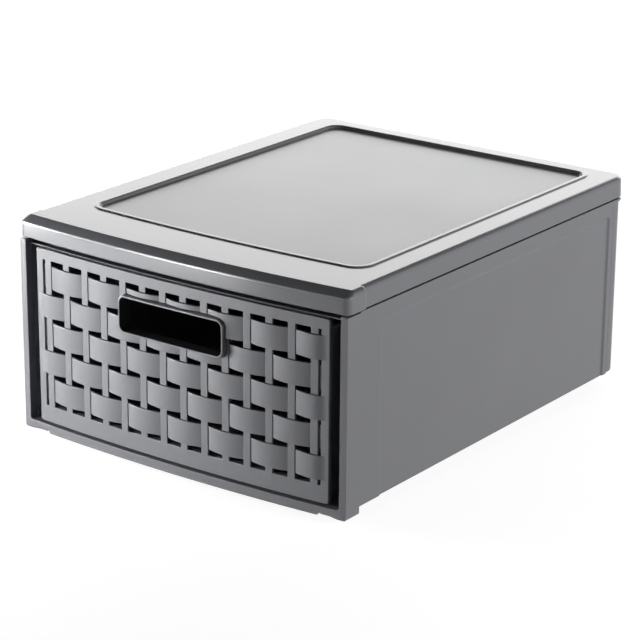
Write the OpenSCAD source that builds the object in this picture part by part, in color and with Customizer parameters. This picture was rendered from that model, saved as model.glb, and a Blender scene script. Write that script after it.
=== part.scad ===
// Stackable drawer box: a moulded case under a stacking cover, with one drawer behind a woven front.
// Millimetres. +X is the box's right, +Y its back, +Z up. The origin is the middle of the footprint,
// level with the lowest face. The front is bowed: its middle stands ahead of its corners.

/* [Case] */
// Width over the front posts and the cover's front band
case_w = 320; // [290:1:360]
// Depth from the crown of the bowed front to the cover's back edge
case_d = 407; // [350:1:460]
// Height from the underside of the stacking ring to the cover's rim
case_h = 181; // [170:1:220]
// Plan radius of the bowed front
bow_r = 1800; // [1500:10:3000]
// How far the panels' outer faces lie inside the front posts' sides
panel_in = 4; // [3.5:0.1:6]
// How far the back panel's outer face lies inside the cover's back edge
back_in = 2.5; // [2:0.1:5]
// Wall of the side and back panels
panel_wall = 3; // [2.4:0.1:3.6]
// Clear height from the lowest face up to the panels' bottom edges
panel_lift = 8; // [7:0.5:10]
// Corner radius of the back panel in plan
body_corner_r = 10; // [6:0.5:14]
// Length of the back panel's returns round the rear corners
back_return = 15; // [14:0.5:24]

/* [Side field] */
// Depth of the sunken field in each side panel
field_depth = 1; // [0.5:0.1:1.5]
// Field's distance from the panel's front edge
field_front = 41; // [25:1:60]
// Field's distance from the panel's rear edge
field_rear = 5; // [4:0.5:20]
// Field's distance below the cover's skirt
field_top = 24; // [15:1:40]
// Radius of the field's two upper corners
field_r = 15; // [5:1:20]

/* [Cover] */
// Height of the skirt
skirt_h = 17; // [14:0.5:22]
// Wall of the cover
cover_wall = 2.6; // [2:0.1:3]
// How far the front band stands out of the skirt on each side
band_out = 3; // [1:0.1:3.4]
// Length of the front band along the side
band_d = 29; // [22:1:34]
// Radius of the cover's top edge along the front
front_round = 8; // [4:0.5:9]
// Radius of the cover's top edge along the sides and back
side_round = 2.5; // [1.5:0.1:4]
// Plan radius of the cover's front corners
front_corner_r = 5.5; // [3:0.5:9]
// Plan radius of the cover's rear corners
rear_corner_r = 11; // [8:0.5:16]
// Width of the rim beside the stacking recess
rim_side = 22.5; // [18:0.5:30]
// Width of the rim ahead of the stacking recess
rim_front = 53; // [45:1:70]
// Width of the rim behind the stacking recess
rim_rear = 15.5; // [14:0.5:30]
// Depth of the stacking recess
recess_depth = 4; // [3.6:0.1:5]
// Run of the recess's sloping wall
recess_slope = 6; // [3:0.5:8]
// Plan radius of the recess's corners
recess_r = 18; // [12:1:26]

/* [Front frame] */
// Width of each post's front face
post_w = 6.6; // [6:0.1:10]
// Length of each post along the side
post_d = 17; // [13:0.5:22]
// Thickness of the posts, rail and tie bar at the front corners
post_t = 6; // [4:0.5:8]
// Height of the bottom rail's front face
rail_h = 6.2; // [5:0.1:8]
// How far the foot strips' ends lie inside the posts' sides
strip_in = 24.5; // [20:0.5:60]
// Height of the foot strips
strip_h = 2.6; // [2:0.1:3]
// Depth of the foot strips from front to back
strip_d = 9; // [6:0.5:10]

/* [Base] */
// Thickness of the floor
floor_t = 2.5; // [2:0.1:3]
// How far the stacking ring reaches below the foot strips
ring_drop = 3; // [2:0.1:3.4]
// Wall of the stacking ring
ring_wall = 3; // [2.5:0.1:5]
// Sideways clearance of the stacking ring in a cover's recess
ring_clear = 1; // [0.5:0.1:3]
// Height of the floor's upturned edges
edge_h = 10; // [6:0.5:16]
// Thickness of the floor's upturned edges
edge_t = 2; // [1.5:0.1:3]
// Height of the ribs inside the stacking ring
rib_h = 4; // [2:0.5:4.5]
// Thickness of the ribs
rib_t = 2; // [1.5:0.1:3]
// Number of ribs
ribs = 4; // [2:1:8]

/* [Drawer] */
// Gap between the drawer's front and each post
gap_side = 10.4; // [3:0.1:14]
// Gap between the drawer's front and the cover's skirt
gap_top = 4.4; // [3:0.1:8]
// Gap between the drawer's front and the bottom rail
gap_bottom = 3.4; // [2.5:0.1:6]
// How far the drawer's front is set back from the posts
front_set = 1.9; // [0.5:0.1:4]
// Thickness of the drawer front's border
front_t = 2.8; // [2.4:0.1:4]
// Corner radius of the drawer's front
front_r = 3; // [1:0.5:6]
// How far the tub's side walls lie inside the ends of the drawer's front
tub_in = 7; // [6:0.1:12]
// Wall of the tub
tub_wall = 2.2; // [1.6:0.1:3]
// Height of the tub's rim below the top edge of the drawer's front
tub_low = 7.6; // [6.5:0.1:12]
// Gap under the tub, above the bottom rail
tub_gap = 2.2; // [1.5:0.1:3.3]
// Free length behind the tub
tub_rear = 24; // [18:1:60]
// Corner radius of the tub
tub_r = 8; // [4:0.5:14]
// How far the drawer slides out to its stops
travel = 290; // [200:5:310]

/* [Weave] */
// Number of upright straps
straps = 14; // [10:2:18]
// Number of woven rows
rows = 5; // [3:2:7]
// Width of a strap
strap_w = 6.6; // [5:0.1:8]
// Thickness of a strap
strap_t = 2; // [1.6:0.1:2.6]
// Height of the slots between the rows
slot_h = 4.4; // [3:0.1:6]
// Gap between the outer straps and the border
edge_slot = 2.6; // [2:0.1:5]
// Width of the border beside the weave
border_side = 7; // [6.5:0.1:10]
// Height of the border above the weave
border_top = 10; // [8:0.5:14]
// Height of the border below the weave
border_bottom = 12.4; // [8:0.1:16]
// How far a band stands out where it passes over a strap
band_rise = 2.4; // [1:0.1:3]
// How far a band lies back where it passes behind a strap
band_sink = 1.8; // [1:0.1:1.9]
// Thickness of a band
band_t = 2.5; // [2.4:0.1:3]

/* [Grip] */
// Width of the grip's frame
grip_w = 102; // [80:1:130]
// Height of the grip's frame
grip_h = 30; // [26:0.5:40]
// Distance from the top edge of the drawer's front to the grip's middle
grip_low = 34.5; // [30:0.5:60]
// Wall of the grip's frame
grip_wall = 2.3; // [2:0.1:4]
// How far the grip stands out of the drawer's front
grip_out = 4.5; // [3:0.1:8]
// Thickness and width of the flange that holds the grip behind the bands
grip_flange = 2; // [1.5:0.1:3]
// Corner radius of the grip
grip_r = 7; // [4:0.5:10]

/* [Runners] */
// Width of the tub's side flange
flange_w = 7; // [5:0.1:7]
// Thickness of the tub's flange
flange_t = 2.5; // [2:0.1:3.5]
// Thickness of a runner's lips and web
lip_t = 2.2; // [2:0.1:3]
// Running clearance above and below the flange
run_clear = 0.3; // [0.2:0.1:1]
// Sideways overlap of the runner's lower lip and the tub's flange
lip_grip = 5.5; // [4:0.1:6]
// How far the flange's rear lugs stand out
lug_out = 5; // [4:0.1:5]
// Length of the lugs and of the runner's stops
stop_l = 10; // [6:1:16]

/* [Snaps] */
// Length of a snap lug and its window
snap_l = 14; // [8:1:20]
// Height of a snap lug
snap_h = 3; // [2:0.1:4]
// Clearance between pieces that fit together
fit = 0.2; // [0.1:0.05:0.3]

/* [Hidden] */

shell_grey = [0.50, 0.51, 0.52];
inner_grey = [0.38, 0.39, 0.40];
grip_grey = [0.42, 0.43, 0.44];

// Facets: a bowed face, a plan corner, and the true cylinder behind each exact bow
bow_n = 24;
arc_n = 6;
bow_fn = 1440;
$fn = 48;
over = 1;          // how far a cutter runs past what it cuts

// The front and back planes. The grip stands ahead of the front, so the box is centred with it
grip_ahead = max(grip_out - front_set, 0);
front_y = (grip_ahead - case_d) / 2;
back_y = (grip_ahead + case_d) / 2;

// Cover
cover_hw = case_w / 2 - band_out;
skirt_z = case_h - skirt_h;
recess_z = case_h - recess_depth;
ceiling_z = recess_z - cover_wall;
recess_hw = cover_hw - rim_side;
recess_front_y = front_y + rim_front;
recess_rear_y = back_y - rim_rear;

// Case
post_hw = case_w / 2;
opening_hw = post_hw - post_w;
post_front_y = front_y + sag(post_hw);
post_back_y = post_front_y + post_d;
frame_z = ring_drop + strip_h;
strip_hw = post_hw - strip_in;
rail_top = frame_z + rail_h;
panel_x = post_hw - panel_in;
panel_inner_x = panel_x - panel_wall;
panel_y0 = post_front_y + post_t + fit;
back_face_y = back_y - back_in;
panel_y1 = back_face_y - back_return;
upper_x = cover_hw - cover_wall - 2 * fit;
upper_back_y = back_y - cover_wall - 2 * fit;
wall_top = skirt_z - 1;
upper_z = wall_top - 2;
snap_z = (skirt_z + ceiling_z) / 2;

// Drawer
front_top = skirt_z - gap_top;
front_bottom = rail_top + gap_bottom;
front_h = front_top - front_bottom;
face_y = front_y + front_set;
drawer_hw = opening_hw - gap_side;
tub_top = front_top - tub_low;
tub_z = rail_top + tub_gap;
tub_hw = drawer_hw - tub_in;
tub_y0 = face_y + front_t;
tub_y1 = back_face_y - panel_wall - tub_rear;
window_top = front_top - border_top;
window_bottom = front_bottom + border_bottom;
window_hw = drawer_hw - border_side;

// Weave
row_pitch = (window_top - window_bottom - slot_h) / rows;
band_h = row_pitch - slot_h;
strap_x0 = window_hw - edge_slot - strap_w / 2;
strap_pitch = 2 * strap_x0 / (straps - 1);
grip_z = front_top - grip_low;

// Runners
flange_hw = tub_hw + flange_w;
flange_z = tub_top - flange_t;
runner_y0 = post_back_y + 4;
runner_y1 = tub_y1 + run_clear + stop_l;
lip_x = flange_hw - lip_grip;
lug_y = tub_y1 - stop_l;

// How far the bowed front has fallen back at a distance x from the middle
function sag(x) = bow_r - sqrt(bow_r * bow_r - x * x);

// One closed ring of points, anticlockwise from above: a bowed front, four round corners, and on each
// side the step where the front band ends
function ring(hw, y0, y1, rf, rr, step, step_y, z) =
    let (fx = hw + step - rf, fy = y0 + sag(fx) + rf)
    concat(
        [for (i = [0:bow_n]) let (x = fx * (2 * i / bow_n - 1)) [x, y0 + sag(x), z]],
        [for (i = [1:arc_n]) let (a = 90 * i / arc_n - 90) [fx + rf * cos(a), fy + rf * sin(a), z]],
        [[hw + step, step_y, z], [hw, step_y + 1, z]],
        [for (i = [0:arc_n]) let (a = 90 * i / arc_n) [hw - rr + rr * cos(a), y1 - rr + rr * sin(a), z]],
        [for (i = [0:arc_n]) let (a = 90 * i / arc_n + 90) [rr - hw + rr * cos(a), y1 - rr + rr * sin(a), z]],
        [[-hw, step_y + 1, z], [-hw - step, step_y, z]],
        [for (i = [0:arc_n - 1]) let (a = 90 * i / arc_n + 180) [rf * cos(a) - fx, fy + rf * sin(a), z]]
    );

// A ring of the cover's outline, drawn in by one amount at the front and another elsewhere
function cover_ring(in_front, in_side, z) =
    ring(cover_hw - in_side, front_y + in_front, back_y - in_side,
        max(front_corner_r - in_side, 0.6), max(rear_corner_r - in_side, 0.6),
        band_out, post_front_y + band_d, z);

// A ring of the recess's outline, drawn in by one amount all round
function recess_ring(inset, z) =
    ring(recess_hw - inset, recess_front_y + inset, recess_rear_y - inset,
        max(recess_r - inset, 1), max(recess_r - inset, 1),
        0, recess_front_y + sag(recess_hw) + recess_r + 2, z);

// How far an edge of radius r draws a face in, at a drop below the edge
function round_in(r, drop) = drop >= r ? 0 : r - sqrt(r * r - pow(r - drop, 2));

// A closed skin over a stack of rings, capped at both ends
module skin(rings) {
    n = len(rings[0]);
    last = (len(rings) - 1) * n;
    polyhedron(
        points = [for (r = rings) each r],
        faces = concat(
            [[for (i = [0:n - 1]) i]],
            [for (j = [0:len(rings) - 2], i = [0:n - 1])
                [j * n + i, (j + 1) * n + i, (j + 1) * n + (i + 1) % n]],
            [for (j = [0:len(rings) - 2], i = [0:n - 1])
                [j * n + i, (j + 1) * n + (i + 1) % n, j * n + (i + 1) % n]],
            [[for (i = [n - 1:-1:0]) last + i]]
        )
    );
}

// A ring's outline in plan
module ring_outline(points) {
    polygon([for (p = points) [p[0], p[1]]]);
}

// What lies behind a bowed face whose crown is at y, between two heights
module behind_bow(y, z0, z1) {
    translate([0, y + bow_r, z0]) cylinder(h = z1 - z0, r = bow_r, $fn = bow_fn);
}

// A sheet that follows the bow, with its front crown at y
module bow_sheet(y, t, half, z0, z1) {
    difference() {
        behind_bow(y, z0, z1);
        behind_bow(y + t, z0 - over, z1 + over);
        for (s = [-1, 1]) block_pair(s, [half, y - over, z0 - over], [bow_r + over, y + 2 * bow_r + over, z1 + over]);
        block([-half - over, y + bow_r, z0 - over], [half + over, y + 2 * bow_r + over, z1 + over]);
    }
}

// A box from its lowest corner to its highest
module block(low, high) {
    translate(low) cube(high - low);
}

// A block on the right, or its mirror image on the left
module block_pair(s, low, high) {
    mirror([s < 0 ? 1 : 0, 0, 0]) block(low, high);
}

// A rounded rectangle centred on the origin
module round_rect(w, h, r) {
    square([w - 2 * r, h], center = true);
    square([w, h - 2 * r], center = true);
    for (x = [-1, 1], y = [-1, 1]) translate([x * (w / 2 - r), y * (h / 2 - r)]) circle(r);
}

// A rounded rectangle in the XZ plane, centred at a height and extruded from y0 to y1
module upright(w, h, r, z, y0, y1) {
    translate([0, y1, z]) rotate([90, 0, 0]) linear_extrude(y1 - y0) round_rect(w, h, r);
}

// The places of the cover's snap lugs along a side, and of the front frame's up a post
function snap_places() = [for (i = [-1:1]) i * case_d * 0.28];
function frame_snaps() = [for (i = [1:2]) panel_lift + (wall_top - panel_lift) * i / 3];

// Cover

// One moulded shell: skirt, rim, and the sunken panel that the next box stands in
module top_cover() {
    lip_round = 0.8;
    drops = concat([skirt_h - lip_round], [for (a = [0, 15, 30, 45, 57, 68, 78, 90]) front_round * (1 - sin(a))]);
    color(shell_grey) {
        skin(concat(
            [cover_ring(cover_wall, cover_wall, ceiling_z)],
            [cover_ring(cover_wall, cover_wall, skirt_z)],
            [cover_ring(lip_round, lip_round, skirt_z)],
            [for (d = drops) cover_ring(round_in(front_round, d), round_in(side_round, d), case_h - d)],
            [recess_ring(0, case_h)],
            [recess_ring(recess_slope * 0.3, case_h - recess_depth * 0.15)],
            [recess_ring(recess_slope * 0.7, case_h - recess_depth * 0.85)],
            [recess_ring(recess_slope, recess_z)]
        ));
        for (s = [-1, 1], y = snap_places())
            block_pair(s, [upper_x - panel_wall / 2, y - snap_l / 2 + fit, snap_z - snap_h / 2 + fit],
                [cover_hw - cover_wall / 2, y + snap_l / 2 - fit, snap_z + snap_h / 2 - fit]);
    }
}

// Case

// Right-hand panel; the left is its mirror image
module side_panel() {
    field_l = panel_y1 - panel_y0 - field_front - field_rear;
    field_h = skirt_z - field_top - panel_lift;
    difference() {
        union() {
            block([panel_inner_x, panel_y0, panel_lift], [panel_x, panel_y1 - fit, wall_top]);
            block([upper_x - panel_wall, panel_y0, upper_z], [upper_x, panel_y1 - fit, ceiling_z]);
        }
        // the sunken field, open at its foot
        translate([panel_x - field_depth, panel_y0 + field_front + field_l / 2, panel_lift + field_h / 2 - field_r])
            rotate([90, 0, 90]) linear_extrude(field_depth + over) round_rect(field_l, field_h + 2 * field_r, field_r);
        // windows for the cover's snap lugs
        for (y = snap_places())
            block([upper_x - panel_wall - over, y - snap_l / 2, snap_z - snap_h / 2],
                [upper_x + over, y + snap_l / 2, snap_z + snap_h / 2]);
        // windows for the front frame's snap lugs
        for (z = frame_snaps())
            block([panel_inner_x - over, post_back_y - 2 * snap_h, z - snap_l / 2],
                [panel_x + over, post_back_y - snap_h, z + snap_l / 2]);
    }
}

module right_side_panel() {
    color(shell_grey) side_panel();
}

module left_side_panel() {
    color(shell_grey) mirror([1, 0, 0]) side_panel();
}

// A block that is square at its front and has two round corners at its back, in plan
module tub_plan(hw, y0, y1, r) {
    intersection() {
        translate([-hw, y0]) square([2 * hw, y1 - y0]);
        translate([0, y1 - case_d]) round_rect(2 * hw, 2 * case_d, r);
    }
}

// A wall that runs across the back and round both rear corners, in plan
module back_plan(hw, y1) {
    difference() {
        tub_plan(hw, panel_y1, y1, body_corner_r);
        tub_plan(hw - panel_wall, panel_y1 - over, y1 - panel_wall, body_corner_r - panel_wall);
    }
}

module back_panel() {
    color(shell_grey) {
        translate([0, 0, panel_lift]) linear_extrude(wall_top - panel_lift) back_plan(panel_x, back_face_y);
        translate([0, 0, upper_z]) linear_extrude(ceiling_z - upper_z) back_plan(upper_x, upper_back_y);
    }
}

// Plan of the stacking ring: the recess's floor outline, less the clearance
module ring_plan(inset) {
    ring_outline(recess_ring(recess_slope + ring_clear + inset, 0));
}

// Floor with upturned edges; under it the stacking ring, cross ribs and the rear foot strip
module base_panel() {
    floor_x = panel_inner_x - fit;
    floor_y1 = back_face_y - panel_wall - fit;
    floor_r = body_corner_r - panel_wall;
    root_z = panel_lift + floor_t / 2;
    ring_x = recess_hw - recess_slope - ring_clear - ring_wall / 2;
    color(inner_grey) {
        difference() {
            translate([0, 0, panel_lift]) linear_extrude(edge_h) tub_plan(floor_x, panel_y0, floor_y1, floor_r);
            translate([0, 0, panel_lift + floor_t]) linear_extrude(edge_h)
                tub_plan(floor_x - edge_t, panel_y0 - over, floor_y1 - edge_t, floor_r - edge_t);
        }
        difference() {
            linear_extrude(root_z) ring_plan(0);
            translate([0, 0, -over]) linear_extrude(panel_lift + over) ring_plan(ring_wall);
        }
        for (i = [1:ribs])
            let (y = recess_front_y + (recess_rear_y - recess_front_y) * i / (ribs + 1))
                block([-ring_x, y - rib_t / 2, panel_lift - rib_h], [ring_x, y + rib_t / 2, root_z]);
        block([-strip_hw, floor_y1 - strip_d, ring_drop], [strip_hw, floor_y1, root_z]);
    }
}

// Front frame: two posts, the bottom rail with its foot strip, and the tie bar under the cover
module front_frame() {
    post_top = skirt_z - 2 * fit;
    tie_in = cover_wall + 2 * fit;
    frame_back_y = post_front_y + post_t;
    color(shell_grey) {
        intersection() {
            behind_bow(front_y, 0, case_h);
            post_plan();
            union() {
                for (s = [-1, 1]) {
                    block_pair(s, [opening_hw, front_y, frame_z], [post_hw, frame_back_y, post_top]);
                    block_pair(s, [panel_x + fit, front_y, frame_z], [post_hw, post_back_y, post_top]);
                }
                block([-post_hw + over, front_y, frame_z], [post_hw - over, frame_back_y, rail_top]);
                foot_strip();
            }
        }
        intersection() {
            linear_extrude(ceiling_z) ring_outline(cover_ring(tie_in, tie_in, 0));
            block([-post_hw, front_y, upper_z], [post_hw, frame_back_y, ceiling_z]);
        }
        // lugs that snap into the side panels
        for (s = [-1, 1], z = frame_snaps())
            block_pair(s, [panel_x - panel_wall / 2, post_back_y - 2 * snap_h + fit, z - snap_l / 2 + fit],
                [panel_x + fit + over, post_back_y - snap_h - fit, z + snap_l / 2 - fit]);
    }
}

// Rounds the posts' outer front edges
module post_plan() {
    r = front_corner_r;
    linear_extrude(case_h) {
        translate([-post_hw, post_front_y + r]) square([2 * post_hw, post_d]);
        translate([r - post_hw, front_y]) square([2 * (post_hw - r), post_back_y - front_y]);
        for (s = [-1, 1]) translate([s * (post_hw - r), post_front_y + r]) circle(r);
    }
}

// The strip under the rail, with slanting ends
module foot_strip() {
    foot_hw = strip_hw - strip_h;
    translate([0, front_y + strip_d + sag(strip_hw), 0]) rotate([90, 0, 0])
        linear_extrude(strip_d + sag(strip_hw))
            polygon([[-foot_hw, ring_drop], [foot_hw, ring_drop],
                [strip_hw, frame_z + over], [-strip_hw, frame_z + over]]);
}

// Right-hand runner: a channel that carries the tub's flange, with a stop at each end
module runner() {
    low = flange_z - run_clear;
    high = tub_top + run_clear;
    stop_x = flange_hw + run_clear + 1;
    front_stop = lug_y - travel;
    block([panel_inner_x - lip_t, runner_y0, low - lip_t], [panel_inner_x, runner_y1, high + lip_t]);
    block([lip_x, runner_y0, low - lip_t], [panel_inner_x, runner_y1, low]);
    block([lip_x, runner_y0, high], [panel_inner_x, runner_y1, high + lip_t]);
    block([stop_x, front_stop - stop_l, low - lip_t / 2], [panel_inner_x, front_stop, high + lip_t / 2]);
    block([lip_x, tub_y1 + run_clear, low - lip_t / 2], [panel_inner_x, runner_y1, high + lip_t / 2]);
}

module right_runner() {
    color(inner_grey) runner();
}

module left_runner() {
    color(inner_grey) mirror([1, 0, 0]) runner();
}

// Drawer

// Open tub with a flange round its rim; its front wall is a window behind the weave
module drawer_tub() {
    inner_r = max(tub_r - tub_wall, 1);
    color(inner_grey) difference() {
        union() {
            intersection() {
                behind_bow(tub_y0, 0, case_h);
                union() {
                    translate([0, 0, tub_z]) linear_extrude(tub_top - tub_z)
                        tub_plan(tub_hw, tub_y0, tub_y1, tub_r);
                    translate([0, 0, flange_z]) linear_extrude(flange_t)
                        tub_plan(flange_hw, tub_y0, tub_y1, tub_r);
                    for (s = [-1, 1])
                        block_pair(s, [tub_hw, lug_y, flange_z], [flange_hw + lug_out, tub_y1 - tub_r, tub_top]);
                }
            }
            bow_sheet(tub_y0, tub_wall, tub_hw, tub_z, front_top - 2);
        }
        intersection() {
            behind_bow(tub_y0 + tub_wall, 0, case_h);
            translate([0, 0, tub_z + tub_wall]) linear_extrude(case_h)
                tub_plan(tub_hw - tub_wall, tub_y0, tub_y1 - tub_wall, inner_r);
        }
        block([-window_hw, tub_y0 - over, window_bottom],
            [window_hw, tub_y0 + sag(tub_hw) + tub_wall + over, window_top]);
    }
}

// How far a band stands out of the border's face at x: arches between the straps that it passes behind,
// and a short fall to the border after the last strap
function weave(x) =
    let (run = x + strap_x0, across = 2 * strap_pitch,
        off = run - across * floor(run / across) - strap_pitch,
        end_run = window_hw + border_side * 0.7 - strap_x0)
    x > strap_x0
        ? band_rise * (1 - pow((x - strap_x0) / end_run, 2))
        : band_rise - (band_rise + band_sink) * pow(off / strap_pitch, 2);

// Plan of one row's band; the rows between are its mirror image
module band_plan() {
    steps = 6 * (straps - 1);
    x0 = -window_hw - border_side * 0.3;
    x1 = window_hw + border_side * 0.7;
    xs = concat([x0], [for (i = [0:steps]) strap_x0 * (2 * i / steps - 1)],
        [for (i = [1:3]) strap_x0 + (x1 - strap_x0) * i / 3]);
    polygon(concat(
        [for (x = xs) [x, face_y + sag(x) - weave(x)]],
        [for (i = [len(xs) - 1:-1:0]) let (x = xs[i]) [x, face_y + sag(x) - weave(x) + band_t]]
    ));
}

// The woven front: a border, upright straps, and bands that pass over and under them
module drawer_front() {
    color(shell_grey) difference() {
        union() {
            difference() {
                intersection() {
                    bow_sheet(face_y, front_t, drawer_hw + over, front_bottom, front_top);
                    upright(2 * drawer_hw, front_h, front_r, (front_top + front_bottom) / 2, face_y, back_y);
                }
                block([-window_hw, face_y - over, window_bottom],
                    [window_hw, face_y + sag(window_hw) + front_t + over, window_top]);
            }
            for (i = [0:straps - 1])
                let (x = strap_pitch * i - strap_x0)
                    block([x - strap_w / 2, face_y + sag(x), window_bottom - over],
                        [x + strap_w / 2, face_y + sag(x) + strap_t, window_top + over]);
            for (i = [0:rows - 1])
                translate([0, 0, window_top - slot_h - row_pitch * i - band_h])
                    mirror([i % 2, 0, 0]) linear_extrude(band_h) band_plan();
        }
        upright(grip_w + 2 * fit, grip_h + 2 * fit, grip_r + fit, grip_z,
            face_y - band_rise - over, face_y + band_sink + band_t + over + sag(grip_w / 2));
    }
}

// The grip: a sleeve through the woven front, with an open finger hole
module grip_frame() {
    grip_y0 = face_y - grip_out;
    flange_w = grip_w + 2 * (grip_flange + fit);
    flange_h = grip_h + 2 * (grip_flange + fit);
    flange_y = face_y + sag(flange_w / 2) + band_sink + band_t + fit;
    grip_y1 = flange_y + grip_flange;
    color(grip_grey) difference() {
        union() {
            intersection() {
                behind_bow(grip_y0, 0, case_h);
                upright(grip_w, grip_h, grip_r, grip_z, grip_y0, grip_y1);
            }
            upright(flange_w, flange_h, grip_r + grip_flange, grip_z, flange_y, grip_y1);
        }
        upright(grip_w - 2 * grip_wall, grip_h - 2 * grip_wall, grip_r - grip_wall, grip_z,
            grip_y0 - over, grip_y1 + over);
    }
}

top_cover();
left_side_panel();
right_side_panel();
back_panel();
base_panel();
front_frame();
left_runner();
right_runner();
drawer_tub();
drawer_front();
grip_frame();
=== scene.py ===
"""Stackable drawer box: the finish of every piece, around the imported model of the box.

Lengths are in metres unless a name or a description says otherwise. +X is the box's right, +Y its back,
+Z up. The front is bowed: its middle stands ahead of its corners.
"""

import math

import bmesh
import bpy
from bpy.props import FloatProperty, FloatVectorProperty, IntProperty, PointerProperty
from mathutils import Matrix, Vector


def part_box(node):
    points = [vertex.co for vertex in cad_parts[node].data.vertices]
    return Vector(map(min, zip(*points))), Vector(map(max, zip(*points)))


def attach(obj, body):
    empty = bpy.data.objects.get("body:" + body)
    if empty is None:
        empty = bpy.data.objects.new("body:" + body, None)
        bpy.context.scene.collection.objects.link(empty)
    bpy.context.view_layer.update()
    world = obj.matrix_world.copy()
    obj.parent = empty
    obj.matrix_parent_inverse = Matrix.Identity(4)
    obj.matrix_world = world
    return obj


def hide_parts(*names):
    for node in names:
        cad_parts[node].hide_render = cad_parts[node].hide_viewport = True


bl_info = {
    "name": "Stackable drawer box",
    "version": (1, 0, 0),
    "blender": (4, 5, 0),
    "location": "3D View > Sidebar > Drawer box",
    "description": "Builds the finished pieces of a stackable drawer box and its studio",
    "category": "Object",
}

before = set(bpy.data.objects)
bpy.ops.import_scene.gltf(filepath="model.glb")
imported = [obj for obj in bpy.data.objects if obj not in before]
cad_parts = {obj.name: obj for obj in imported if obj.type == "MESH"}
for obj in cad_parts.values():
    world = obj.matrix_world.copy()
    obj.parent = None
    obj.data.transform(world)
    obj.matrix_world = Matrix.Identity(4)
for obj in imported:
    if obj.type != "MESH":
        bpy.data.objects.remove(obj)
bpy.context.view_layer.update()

MM = 0.001
CASE = "case"
DRAWER = "drawer"
SMOOTH_BELOW = math.radians(38)
CREASE_ABOVE = math.radians(50)
TINY = 1e-6
# a narrow flat strip beside a round edge keeps its shading even
FLAT_STRIP = 0.4 * MM
BOW_SLICES = 39

SATIN = "satin moulded polypropylene"
TEXTURED = "textured moulded polypropylene"
BRUSHED = "brushed moulded polypropylene"
PLAIN = "plain moulded polypropylene"
# the nearly black plastic on the grip's inner walls is painted shade for the shaded hollow
PAINTED_GRIP_SHADE = "dark moulded polypropylene"

COVER_LOW, COVER_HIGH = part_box("top_cover")
PANEL_LOW, PANEL_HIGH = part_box("right_side_panel")
BACK_LOW, BACK_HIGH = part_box("back_panel")
FRAME_LOW, FRAME_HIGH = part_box("front_frame")
FRONT_LOW, FRONT_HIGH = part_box("drawer_front")
GRIP_LOW, GRIP_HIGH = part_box("grip_frame")
TUB_LOW, TUB_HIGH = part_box("drawer_tub")

FRONT_Y = COVER_LOW.y
BACK_Y = COVER_HIGH.y
SKIRT_Z = COVER_LOW.z
TOP_Z = COVER_HIGH.z
HALF_W = COVER_HIGH.x


def length(name, description, millimetres, low, high):
    """A length that the user sets, given here in millimetres."""
    return FloatProperty(
        name=name,
        description=description,
        default=millimetres * MM,
        min=low * MM,
        max=high * MM,
        unit="LENGTH",
        subtype="DISTANCE",
        precision=4,
    )


def to_linear(hex_code):
    """The linear colour of an sRGB hex code such as "#808080"."""
    parts = [int(hex_code[i : i + 2], 16) / 255 for i in (1, 3, 5)]
    return [p / 12.92 if p <= 0.04045 else ((p + 0.055) / 1.055) ** 2.4 for p in parts]


def colour(name, description, hex_code):
    """A colour that the user sets, given here as sRGB hex."""
    return FloatVectorProperty(
        name=name,
        description=description,
        default=to_linear(hex_code),
        size=3,
        min=0.0,
        max=1.0,
        subtype="COLOR",
    )


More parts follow.
